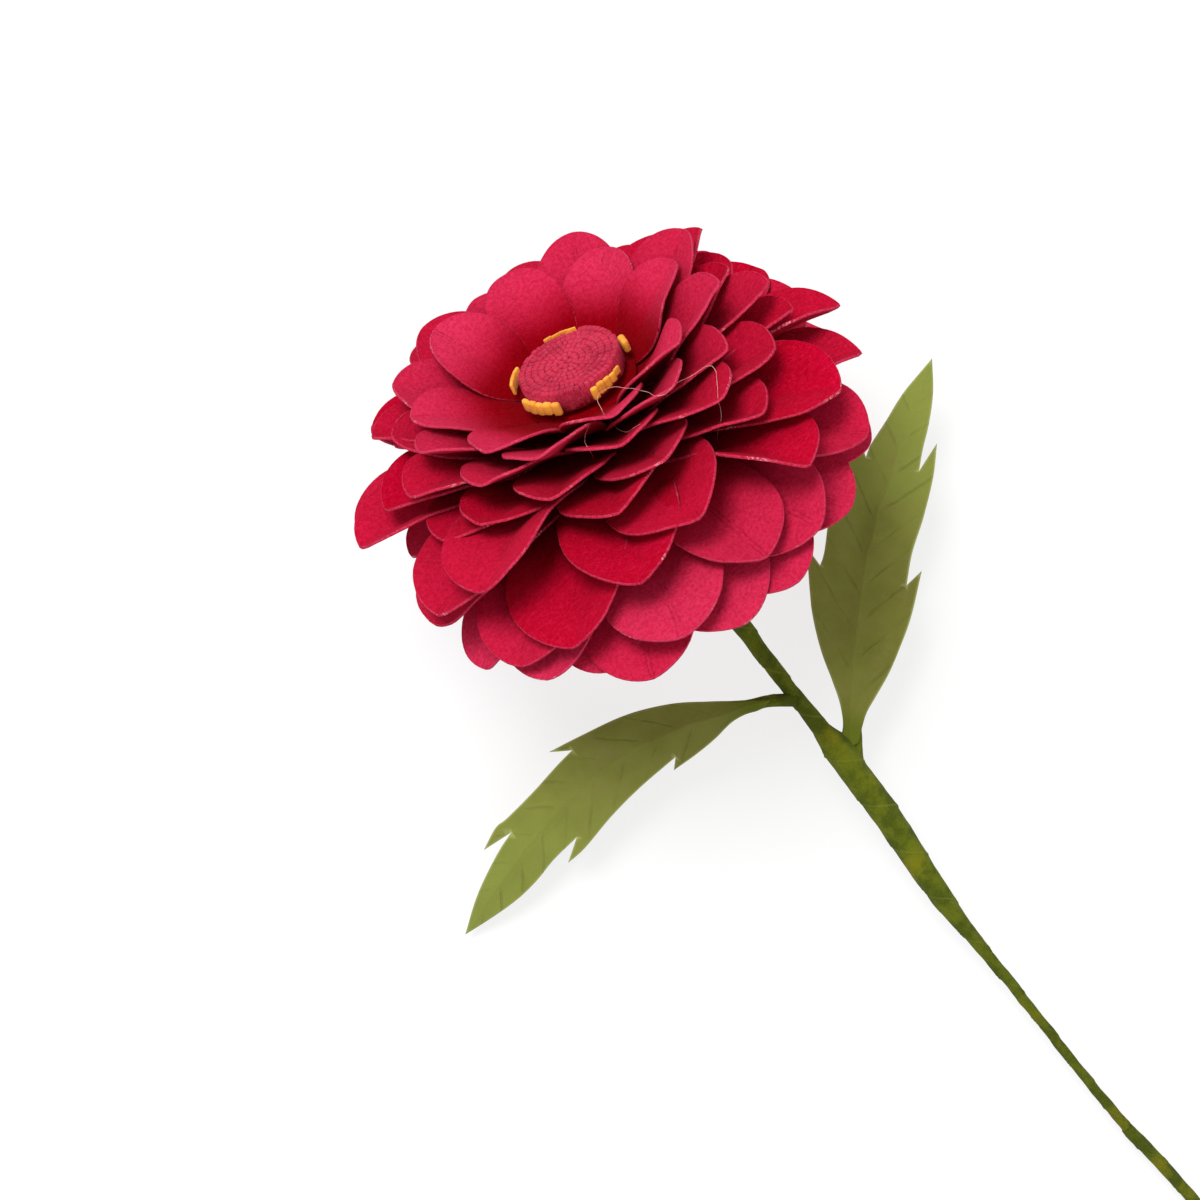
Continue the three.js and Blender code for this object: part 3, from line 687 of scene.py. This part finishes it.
def makeFlorets():
    paper = makePlainPaper("floretPaper", floretInk)
    inOut, upDown, twist = floretSet["inOut"], floretSet["upDown"], floretSet["twist"]
    for number, (first, last, tabs, deep, top, radius, early, late) in floretSet["clumps"].items():
        chance = random.Random(floretSet["seed"] + number)
        bm = bmesh.new()
        step = math.radians(last - first) / tabs
        for k in range(tabs):
            turn = math.radians(first) + (k + 0.5) * step
            size = lerp(early, late, k / (tabs - 1))
            depth = floretSet["tabDepth"] * deep * size * chance.uniform(*floretSet["depths"])
            height = floretSet["tabHeight"] * size * chance.uniform(*floretSet["heights"])
            width = step * radius * chance.uniform(*floretSet["widths"])
            rounding = floretSet["rounding"] * min(deep * size, 1.0)
            shape = makeTabMesh((width, depth, height), rounding, floretSet["bevels"])
            place = (radius + chance.uniform(-inOut, inOut), 0,
                     top + chance.uniform(-upDown, upDown) - height / 2)
            matrix = (Matrix.Rotation(-turn, 4, "Z") @ Matrix.Translation(place)
                      @ Matrix.Rotation(math.radians(90 + chance.uniform(-twist, twist)), 4, "Z"))
            stampTab(bm, shape, matrix)
            bpy.data.meshes.remove(shape)
        finishPiece(f"floretClump{number}", bm, headMatrix, paper,
                    [f"yellow_floret_{number}"])


makeFlorets()
print("florets made")


# curves through points, with a value carried along
def smoothRoute(points, spacing):
    padded = [points[0] * 2 - points[1], *points, points[-1] * 2 - points[-2]]
    result = []
    for k in range(len(points) - 1):
        a, b, c, d = padded[k:k + 4]
        steps = max(1, round((c - b).length / spacing))
        for step in range(steps):
            t = step / steps
            result.append((0.5 * ((2 * b) + (c - a) * t + (2 * a - 5 * b + 4 * c - d) * t * t
                                  + (3 * b - a - 3 * c + d) * t ** 3), k + t))
    result.append((points[-1].copy(), len(points) - 1.0))
    return result


def carried(values, at):
    k = min(int(at), len(values) - 2)
    return lerp(values[k], values[k + 1], at - k)


# how many mm of tape fill its map
wrapMapLength = 100


# A round skin over a route; the relief function gives extra radius from the place along and round.
def addSkin(bm, stations, radiusAt, sides, relief):
    made = bmesh.ops.create_grid(bm, x_segments=len(stations) - 1, y_segments=sides, size=1)
    mapLayer = bm.loops.layers.uv["wrapMap"]
    tangents = []
    for k in range(len(stations)):
        before = stations[max(k - 1, 0)][0]
        after = stations[min(k + 1, len(stations) - 1)][0]
        tangents.append((after - before).normalized())
    side = tangents[0].orthogonal().normalized()
    frames = []
    travelled = 0.0
    for k, (place, at) in enumerate(stations):
        side = (side - tangents[k] * side.dot(tangents[k])).normalized()
        if k:
            travelled += (place - stations[k - 1][0]).length
        frames.append((place, side.copy(), tangents[k].cross(side), at, travelled))
    flat = {}
    for vert in made["verts"]:
        k = round((vert.co.x + 1) / 2 * (len(stations) - 1))
        round01 = (vert.co.y + 1) / 2
        angle = 2 * math.pi * round01
        place, right, up, at, far = frames[k]
        radius = radiusAt(at) + relief(far, angle)
        vert.co = place + (right * math.cos(angle) + up * math.sin(angle)) * radius
        flat[vert] = (round01, far / wrapMapLength)
    for face in {face for vert in made["verts"] for face in vert.link_faces}:
        for loop in face.loops:
            loop[mapLayer].uv = flat[loop.vert]
    bmesh.ops.remove_doubles(bm, verts=bm.verts, dist=1e-5)
    bmesh.ops.holes_fill(bm, edges=[edge for edge in bm.edges if edge.is_boundary], sides=0)
    bmesh.ops.recalc_face_normals(bm, faces=bm.faces)


def fromTable(places):
    return [tablePoint / mm + Vector(place) for place in places]


# the stem, wound with paper tape; its route starts behind the head
stemSet = {
    "route": [(-2.4, -20, 32.6), (-2.6, -27, 28.6), (-2.8, -34.5, 25.2), (-2.9, -45, 21.3),
              (-3, -51.5, 19.3), (-3, -58, 17.5), (-2.9, -65.5, 15.5), (-2.7, -69.5, 14.6),
              (-2.9, -73.5, 13.8), (-3, -82.5, 12.1), (-3.7, -92, 10.4), (-4.1, -98.5, 9.4),
              (-4.1, -104, 8.7), (-3.9, -110, 7.9), (-3.7, -121, 6.7), (-3.6, -133.5, 5.4),
              (-3.3, -145, 4.4), (-3.2, -146.4, 4.3), (-2.1, -160, 3.2), (-1.4, -190, 1.9),
              (0.2, -221, 1.15)],
    "radii": [2.6, 2.4, 2, 1.8, 1.65, 1.52, 1.3, 1.22, 1.42, 2.45, 2.3, 2.25, 2.0, 1.75, 1.3, 1.02, 0.85,
              0.82, 0.85, 1.08, 1.0, 1.1, 1.15],
    "behindHead": (-13.3, -17.0), "spacing": 0.5, "sides": 36,
    "wrapPitch": 9.0, "wrapStep": 0.12, "inset": 0.05,
    # the raised seam: place in a turn, width, height; the puckers: scales round and along, height
    "seam": (0.985, 0.02, 0.06), "puckers": (1.2, 0.3, 0.13), "finePuckers": (2.7, 0.05),
}
tapeInk = {
    "dark": (0.06, 0.08, 0.004, 1), "main": (0.115, 0.14, 0.006, 1), "olive": (0.19, 0.175, 0.005, 1),
    "seam": (0.19, 0.22, 0.035, 1),
    "fixed": {"Specular IOR Level": 0.05, "Sheen Weight": 0.02},
    "scales": (2600.0, 900.0, 260.0), "bump": 0.00014, "rough": (0.85, 0.62),
    "patches": (130.0, 4.0, 0.6), "crepe": {"Scale": 14.0, "Distortion": 3.0, "Detail": 2.0},
    "seamShare": 0.5, "flecked": 0.22, "crepeShare": 0.5,
}


# Each turn of the tape lies over the last one, so the skin steps down across the seam.
def wrapRelief(far, angle):
    turn = (far / stemSet["wrapPitch"] + angle / (2 * math.pi)) % 1.0
    step = (turn - 0.5) * stemSet["wrapStep"]
    seamPlace, seamWidth, seamHeight = stemSet["seam"]
    edge = math.exp(-((turn - seamPlace) / seamWidth) ** 2) * seamHeight
    aroundScale, alongScale, height = stemSet["puckers"]
    spot = Vector((math.cos(angle) * aroundScale, math.sin(angle) * aroundScale, far * alongScale))
    finer, fineHeight = stemSet["finePuckers"]
    return step + edge + noise.noise(spot) * height + noise.noise(spot * finer) * fineHeight


def makeTapePaper():
    ink = tapeInk
    made, tree, surface = startMaterial("tapePaper", ink["fixed"])
    grain = grainIn(tree, ink["scales"])
    place, around, along = mapPlace(tree, "wrapMap")
    turns = times(tree, along, wrapMapLength / stemSet["wrapPitch"])
    wound = mathNode(tree, "FRACT", plus(tree, turns, around))
    colour = mixColour(tree, ramp(tree, grain["Blotch"], 0.36, 0.6), ink["dark"], ink["main"])
    patches = localNoise(tree, *ink["patches"])
    colour = mixColour(tree, ramp(tree, patches, 0.54, 0.7, 0.0, 0.7), colour, ink["olive"])
    seam = times(tree, ramp(tree, wound, 0.95, 1.0), ink["seamShare"])
    colour = mixColour(tree, seam, colour, ink["seam"])
    colour = mixColour(tree, times(tree, grain["Fibre"], ink["flecked"]), colour, ink["seam"])
    # crepe: fine lines along the strip
    crepe = addNode(tree, "ShaderNodeTexWave", wave_type="BANDS", bands_direction="X")
    for name, value in ink["crepe"].items():
        crepe.inputs[name].default_value = value
    tree.links.new(place, crepe.inputs["Vector"])
    height = plus(tree, grain["Height"], times(tree, crepe.outputs["Fac"], ink["crepeShare"]))
    finishSurface(tree, surface, ink, colour, grain["Grain"], height)
    return made


tapePaper = makeTapePaper()


def makeStem():
    points = [headMatrix @ Vector((0, 0, height)) / mm for height in stemSet["behindHead"]]
    stations = smoothRoute(points + fromTable(stemSet["route"]), stemSet["spacing"])
    bm = newShape("wrapMap")
    addSkin(bm, stations, lambda at: carried(stemSet["radii"], at) - stemSet["inset"], stemSet["sides"],
            wrapRelief)
    finishPiece("stemWrap", bm, fromMm, tapePaper, ["stem_tape"])


makeStem()
print("stem made")


# leaves
leafSet = {
    "thickness": 0.34, "spacing": 0.8, "edgeBand": 0.3, "ridge": 0.3, "ridgeWidth": 0.9, "foldRound": 1.2,
    "ripple": 0.5, "rippleScale": (0.12, 0.2), "mapSize": 60, "seed": 3,
    # shares of the spacing: along the outline, between rows, jitter, clear of the outline
    "outlineStep": 0.8, "rowStep": 0.9, "jitter": 0.1, "clear": 0.6, "bandClear": 0.85, "rimReach": 0.05,
    "left": {
        "node": "left_leaf", "base": (-10.8, -55.4, 19), "heading": -177.5, "length": 58.5,
        "drop": 17, "crown": 1.6, "fold": -0.06, "warmth": 0.85,
        "midrib": [(-5, 2.2), (0, 0), (8, -3.1), (16, -5.4), (24, -6.3), (32, -5.9), (40, -4.6), (49, -2.5),
                   (58.5, 0)],
        "outline": [(-4.4, 2.1), (-3.4, 1.2), (-1.6, -0.3), (0.4, -1.8), (3.1, -3.9), (8.2, -7.4),
                   (14.5, -10.4), (22, -12.4), (27.6, -13.6), (24.4, -11.5), (28, -11.2), (34, -10.4),
                   (40, -9.9), (42.4, -9.9), (46.4, -8.4), (40.8, -7.8), (44.4, -6.8), (49.4, -4.9),
                   (54, -2.7), (58.5, 0), (54, 0.5), (48, 0.9), (43.4, 0.6), (38.4, -0.3), (33.2, -0.7),
                   (37, 1.5), (33.4, 1.4), (26.5, 0.2), (20, -0.4), (12.7, -0.5), (14.3, 0.9), (10, 1.2),
                   (6, 1.2), (2.5, 0.9), (0, 1.3), (-2.2, 2.2), (-4.4, 2.1)],
        "corners": (8, 9, 14, 15, 19, 24, 25, 29, 30),
    },
    "right": {
        "node": "right_leaf", "base": (1.9, -67.9, 15.6), "heading": 39.6, "length": 57.2,
        "drop": 3.6, "crown": 2.2, "fold": 0.14, "warmth": 1.0,
        "midrib": [(-5, 0.1), (0, 0.5), (8, 2.0), (16, 3), (24, 3.5), (32, 3.2), (40, 2.3), (49, 1.2),
                   (57.2, 0)],
        "outline": [(-4.4, 0.2), (-3.2, 1.3), (-1.2, 1.5), (0.5, 2.0), (2.7, 3.0), (5, 4.5), (9.1, 7.2),
                   (14.1, 9.7), (17.5, 10.9), (24.2, 12.9), (21.9, 10.3), (24, 10.1), (30.4, 10.5),
                   (36.5, 9.8), (43, 8.8), (39.7, 6.9), (42, 6.5), (46, 5), (51, 3.2), (57.2, 0), (52, -1.2),
                   (47, -1.5), (43, -1.4), (39.4, -1.5), (44.2, -3.3), (38.8, -3.8), (32.8, -3.6),
                   (27.1, -3), (21.7, -3.2), (24.4, -5), (17.5, -4.9), (12.8, -4.4), (8.4, -3.6),
                   (4.3, -2.4), (1.6, -1.6), (-0.8, -1.4), (-3.2, -1.3), (-4.4, 0.2)],
        "corners": (9, 10, 14, 15, 19, 23, 24, 28, 29),
    },
}
leafInk = {
    "dark": (0.14, 0.15, 0.024, 1), "main": (0.185, 0.197, 0.038, 1), "bright": (0.185, 0.222, 0.038, 1),
    "edge": (0.36, 0.38, 0.14, 1), "vein": (0.11, 0.125, 0.02, 1), "stain": (0.19, 0.175, 0.05, 1),
    # this colour is the tape's dark green at the leaf's foot, drawn partly as painted shade
    "foot": (0.1, 0.125, 0.008, 1),
    "fixed": {"Specular IOR Level": 0.12, "Sheen Weight": 0.04, "Sheen Roughness": 0.5},
    "scales": (2400.0, 600.0, 60.0), "bump": 0.00014, "rough": (0.88, 0.66),
    "veinStep": 5.8, "veinSlant": 1.15, "veinOffset": 1.7, "veinWidth": 0.085,
    "wander": (240.0, 2.0), "patches": (170.0, 2.0), "stains": (320.0, 4.0, 0.7),
    "veined": 0.3, "ribbed": 0.15, "flecked": 0.2, "edged": 0.75,
}


# The outline runs smoothly from corner to corner.
def leafOutline(leaf):
    points = []
    corners = [0, *leaf["corners"], len(leaf["outline"]) - 1]
    for first, last in zip(corners, corners[1:]):
        run = [Vector((x, y, 0)) for x, y in leaf["outline"][first:last + 1]]
        route = smoothRoute(run, leafSet["spacing"] * leafSet["outlineStep"])
        points += [place.xy for place, at in route[:-1]]
    return points


def midribSide(leaf, s):
    route = leaf["midrib"]
    k = 0
    while k < len(route) - 2 and route[k + 1][0] < s:
        k += 1
    part = (s - route[k][0]) / (route[k + 1][0] - route[k][0])
    return lerp(route[k][1], route[k + 1][1], min(max(part, 0), 1))


def insideOutline(outline, s, side):
    crossings = False
    for a, b in zip(outline, outline[1:] + outline[:1]):
        if (a.y > side) != (b.y > side) and s < (b.x - a.x) * (side - a.y) / (b.y - a.y) + a.x:
            crossings = not crossings
    return crossings


def makeLeafMesh(leaf):
    chance = random.Random(leafSet["seed"])
    outline = leafOutline(leaf)
    inner = []
    gap, band, jitter, mapSize = [leafSet[key] for key in ("spacing", "edgeBand", "jitter", "mapSize")]
    for before, point, after in zip(outline[-1:] + outline[:-1], outline, outline[1:] + outline[:1]):
        inward = Vector((after.y - before.y, before.x - after.x)).normalized() * band
        ringed = point + inward if insideOutline(outline, *(point + inward)) else point - inward
        if min((ringed - other).length for other in outline) > band * leafSet["bandClear"]:
            inner.append(ringed)
    lowest = min(point.y for point in outline)
    highest = max(point.y for point in outline)
    rows = int((highest - lowest) / gap) + 1
    for row in range(rows):
        for col in range(int(leaf["length"] / gap) + 1):
            point = Vector((col * gap + (row % 2) * gap / 2, lowest + row * gap * leafSet["rowStep"]))
            point += Vector((chance.uniform(-jitter, jitter), chance.uniform(-jitter, jitter))) * gap
            clear = min((point - other).length for other in outline)
            if clear > gap * leafSet["clear"] + band and insideOutline(outline, point.x, point.y):
                inner.append(point)
    count = len(outline)
    edges = [(k, (k + 1) % count) for k in range(count)]
    meshed = geometry.delaunay_2d_cdt(outline + inner, edges, [tuple(range(count))], 1, 1e-4)
    bm = newShape("leafMap", "rim")
    rimLayer = bm.verts.layers.float["rim"]
    mapLayer = bm.loops.layers.uv["leafMap"]
    slope = Matrix.Rotation(math.asin(leaf["drop"] / leaf["length"]), 4, "Y")
    heading = Matrix.Rotation(math.radians(leaf["heading"]), 4, "Z")
    start = fromTable([leaf["base"]])[0]
    made = []
    for place in meshed[0]:
        s, side = place
        part = s / leaf["length"]
        arch = leaf["crown"] * 4 * part * (1 - part)
        away = side - midribSide(leaf, s)
        rib = math.exp(-(away / leafSet["ridgeWidth"]) ** 2)
        lift = (math.hypot(away, leafSet["foldRound"]) - leafSet["foldRound"]) * leaf["fold"]
        spot = Vector((s * leafSet["rippleScale"][0], side * leafSet["rippleScale"][1], leaf["length"]))
        ripple = noise.noise(spot) * leafSet["ripple"]
        point = Vector((s, side, arch + lift + ripple + leafSet["ridge"] * rib))
        point = start + heading @ (slope @ point)
        vert = bm.verts.new(point * mm)
        clear = min((Vector(place) - other).length for other in outline)
        vert[rimLayer] = 1.0 if clear < leafSet["rimReach"] else 0.0
        made.append((vert, (s / mapSize, 0.5 + away / mapSize)))
    for corners in meshed[2]:
        if len(corners) >= 3:
            face = bm.faces.new([made[k][0] for k in corners])
            for loop, k in zip(face.loops, corners):
                loop[mapLayer].uv = made[k][1]
    bmesh.ops.recalc_face_normals(bm, faces=bm.faces)
    bm.normal_update()
    if sum(face.normal.z for face in bm.faces) < 0:
        bmesh.ops.reverse_faces(bm, faces=bm.faces)
    bmesh.ops.solidify(bm, geom=bm.faces[:], thickness=leafSet["thickness"] * mm)
    return bm


# Side veins leave the midrib at a slant; both they and the midrib are pressed into the paper.
def leafVeins(tree, mapAlong, mapAcross):
    along = times(tree, mapAlong, leafSet["mapSize"])
    away = times(tree, minus(tree, mapAcross, 0.5), leafSet["mapSize"])
    away = plus(tree, away, minus(tree, localNoise(tree, *leafInk["wander"]), 0.5))
    far = mathNode(tree, "ABSOLUTE", away)
    start = minus(tree, along, times(tree, far, leafInk["veinSlant"]))
    oneSide = mathNode(tree, "GREATER_THAN", away)
    start = plus(tree, start, times(tree, oneSide, leafInk["veinOffset"]))
    wave = mathNode(tree, "FRACT", mathNode(tree, "DIVIDE", start, leafInk["veinStep"]))
    near = mathNode(tree, "ABSOLUTE", minus(tree, wave, 0.5))
    line = times(tree, ramp(tree, near, 0.0, leafInk["veinWidth"], 1.0, 0.0), ramp(tree, far, 0.3, 1.4))
    line = times(tree, line, ramp(tree, far, 4.5, 9.0, 1.0, 0.15))
    patchy = ramp(tree, localNoise(tree, *leafInk["patches"]), 0.36, 0.6, 0.15, 1.0)
    return times(tree, line, patchy), ramp(tree, far, 0.0, 0.5, 1.0, 0.0)


def makeLeafPaper(name, warmth):
    ink = leafInk
    made, tree, surface = startMaterial(name, ink["fixed"])
    grain = grainIn(tree, ink["scales"])
    along, across = mapPlace(tree, "leafMap")[1:]
    colour = mixColour(tree, ramp(tree, grain["Blotch"], 0.36, 0.66), ink["dark"], ink["main"])
    tipward = plus(tree, along, times(tree, minus(tree, grain["Blotch"], 0.5), 0.8))
    colour = mixColour(tree, ramp(tree, tipward, 0.25, 1.0, 0.0, warmth), colour, ink["bright"])
    vein, rib = leafVeins(tree, along, across)
    colour = mixColour(tree, times(tree, vein, ink["veined"]), colour, ink["vein"])
    colour = mixColour(tree, times(tree, rib, ink["ribbed"]), colour, ink["bright"])
    stain = ramp(tree, localNoise(tree, *ink["stains"]), 0.5, 0.72, 0.0, 0.5)
    colour = mixColour(tree, stain, colour, ink["stain"])
    colour = mixColour(tree, times(tree, grain["Fibre"], ink["flecked"]), colour, ink["bright"])
    cutEdge = times(tree, attributeValue(tree, "rim"), ink["edged"])
    colour = mixColour(tree, cutEdge, colour, ink["edge"])
    # the foot of the leaf takes the tape's dark green where it joins the stem, partly as the tape wound over
    # it and partly as painted shade
    colour = mixColour(tree, ramp(tree, along, -0.03, 0.06, 1.0, 0.0), colour, ink["foot"])
    height = plus(tree, minus(tree, times(tree, grain["Height"], 0.35), vein), times(tree, rib, 0.4))
    finishSurface(tree, surface, ink, colour, grain["Grain"], height)
    return made


stalkSet = {
    "left": {"node": "left_leaf_stalk", "radii": (1.0, 0.98, 0.95, 0.95, 0.95, 0.7, 0.45, 0.3),
             "route": [(-3.4, -59.8, 17.5), (-4.9, -58.6, 18), (-7, -57.1, 18.35), (-8.9, -56.3, 18.45),
                       (-10.8, -55.4, 18.3), (-14.8, -53.6, 17.5), (-19, -52, 16.5), (-24, -50.2, 15.2)]},
    "right": {"node": "right_leaf_stalk", "radii": (1.3, 1.45, 1.4, 1.15, 0.8, 0.6, 0.5, 0.35),
              "route": [(-3.1, -75.6, 13.1), (-2, -73.4, 13.3), (-0.9, -71.6, 13.5), (0.9, -69.4, 13.6),
                        (2.8, -67, 13.7), (4.8, -64.6, 13.7), (8.6, -60.6, 13.9), (13, -56.4, 13.9)]},
    "spacing": 0.4, "sides": 20, "reliefShare": 0.5,
}


def makeLeaves():
    for name in ("left", "right"):
        leaf = leafSet[name]
        paper = makeLeafPaper(f"{name}LeafPaper", leaf["warmth"])
        finishPiece(f"{name}Blade", makeLeafMesh(leaf), Matrix(), paper, [leaf["node"]])
        stalk = stalkSet[name]
        stations = smoothRoute(fromTable(stalk["route"]), stalkSet["spacing"])
        bm = newShape("wrapMap")
        addSkin(bm, stations, lambda at: carried(stalk["radii"], at), stalkSet["sides"],
                lambda far, angle: wrapRelief(far, angle) * stalkSet["reliefShare"])
        finishPiece(f"{name}Stalk", bm, fromMm, tapePaper, [stalk["node"]])


makeLeaves()
print("leaves made")


# one loose fibre of the felted paper lies over the petals; points in mm from the table point
fibreSet = {
    "radius": 0.034, "spacing": 0.5, "sides": 6, "patches": (400.0, 2.0),
    "colour": (0.5, 0.14, 0.13, 1), "pale": (0.72, 0.4, 0.34, 1),
    "fixed": {"Roughness": 0.6, "Specular IOR Level": 0.3},
    "runs": [
        [(9.3, -21.9, 55.6), (10.0, -20.8, 62), (11.0, -20.0, 64.5), (11.8, -18.9, 64.5), (12.0, -17.8, 68.6),
         (12.9, -16.6, 68), (13.8, -15.4, 65.6), (14.5, -14.4, 64.2), (14.6, -13.4, 63.6),
         (13.8, -12.9, 63.5), (12.3, -12.8, 63.4), (10.9, -12.6, 63.3), (9.5, -12.4, 66.2),
         (8.2, -12.5, 68.9), (6.8, -12.7, 69.1), (5.6, -12.0, 68.6), (5.4, -11.0, 65.4), (4.9, -10.2, 64),
         (4.2, -9.2, 63.2), (3.3, -8.2, 61), (2.7, -7.3, 58.6), (1.7, -6.7, 57.6), (0.4, -6.5, 57.4),
         (-0.5, -7.0, 57.8), (-0.9, -8.4, 60), (-1.2, -9.7, 62.4), (-0.9, -10.9, 61), (-0.9, -12.1, 60.6),
         (-0.2, -13.3, 62.2), (0.8, -13.5, 64.2), (1.8, -13.7, 65.7)],
        [(-3.9, -9.5, 64.9), (-5.0, -10.1, 63.9), (-5.8, -11.1, 66.2), (-5.9, -12.1, 66.4),
         (-6.0, -13.3, 60.6)],
    ],
}


def makeFibre():
    made, tree, surface = startMaterial("looseFibre", fibreSet["fixed"])
    patches = ramp(tree, localNoise(tree, *fibreSet["patches"]), 0.4, 0.6)
    colour = mixColour(tree, patches, fibreSet["colour"], fibreSet["pale"])
    tree.links.new(colour, surface.inputs["Base Color"])
    bm = newShape("wrapMap")
    for run in fibreSet["runs"]:
        hair = newShape("wrapMap")
        addSkin(hair, smoothRoute(fromTable(run), fibreSet["spacing"]), lambda at: fibreSet["radius"],
                fibreSet["sides"], lambda far, angle: 0.0)
        mergeShape(bm, hair)
    finishPiece("looseFibre", bm, fromMm, made, [])


makeFibre()
print("fibre made")


# the wire shows only at the cut end
wireInk = {
    "dark": (0.3, 0.3, 0.29, 1), "light": (0.5, 0.5, 0.48, 1), "rough": (0.32, 0.5), "bump": 0.00002,
    "fixed": {"Metallic": 1.0}, "scratches": (1800.0, 3.0),
}


def makeWireSteel():
    made, tree, surface = startMaterial("wireSteel", wireInk["fixed"])
    scratch = localNoise(tree, *wireInk["scratches"])
    colour = mixColour(tree, scratch, wireInk["dark"], wireInk["light"])
    finishSurface(tree, surface, wireInk, colour, scratch, scratch)
    return made


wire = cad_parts["stem_wire"]
wire.data.materials.clear()
wire.data.materials.append(makeWireSteel())
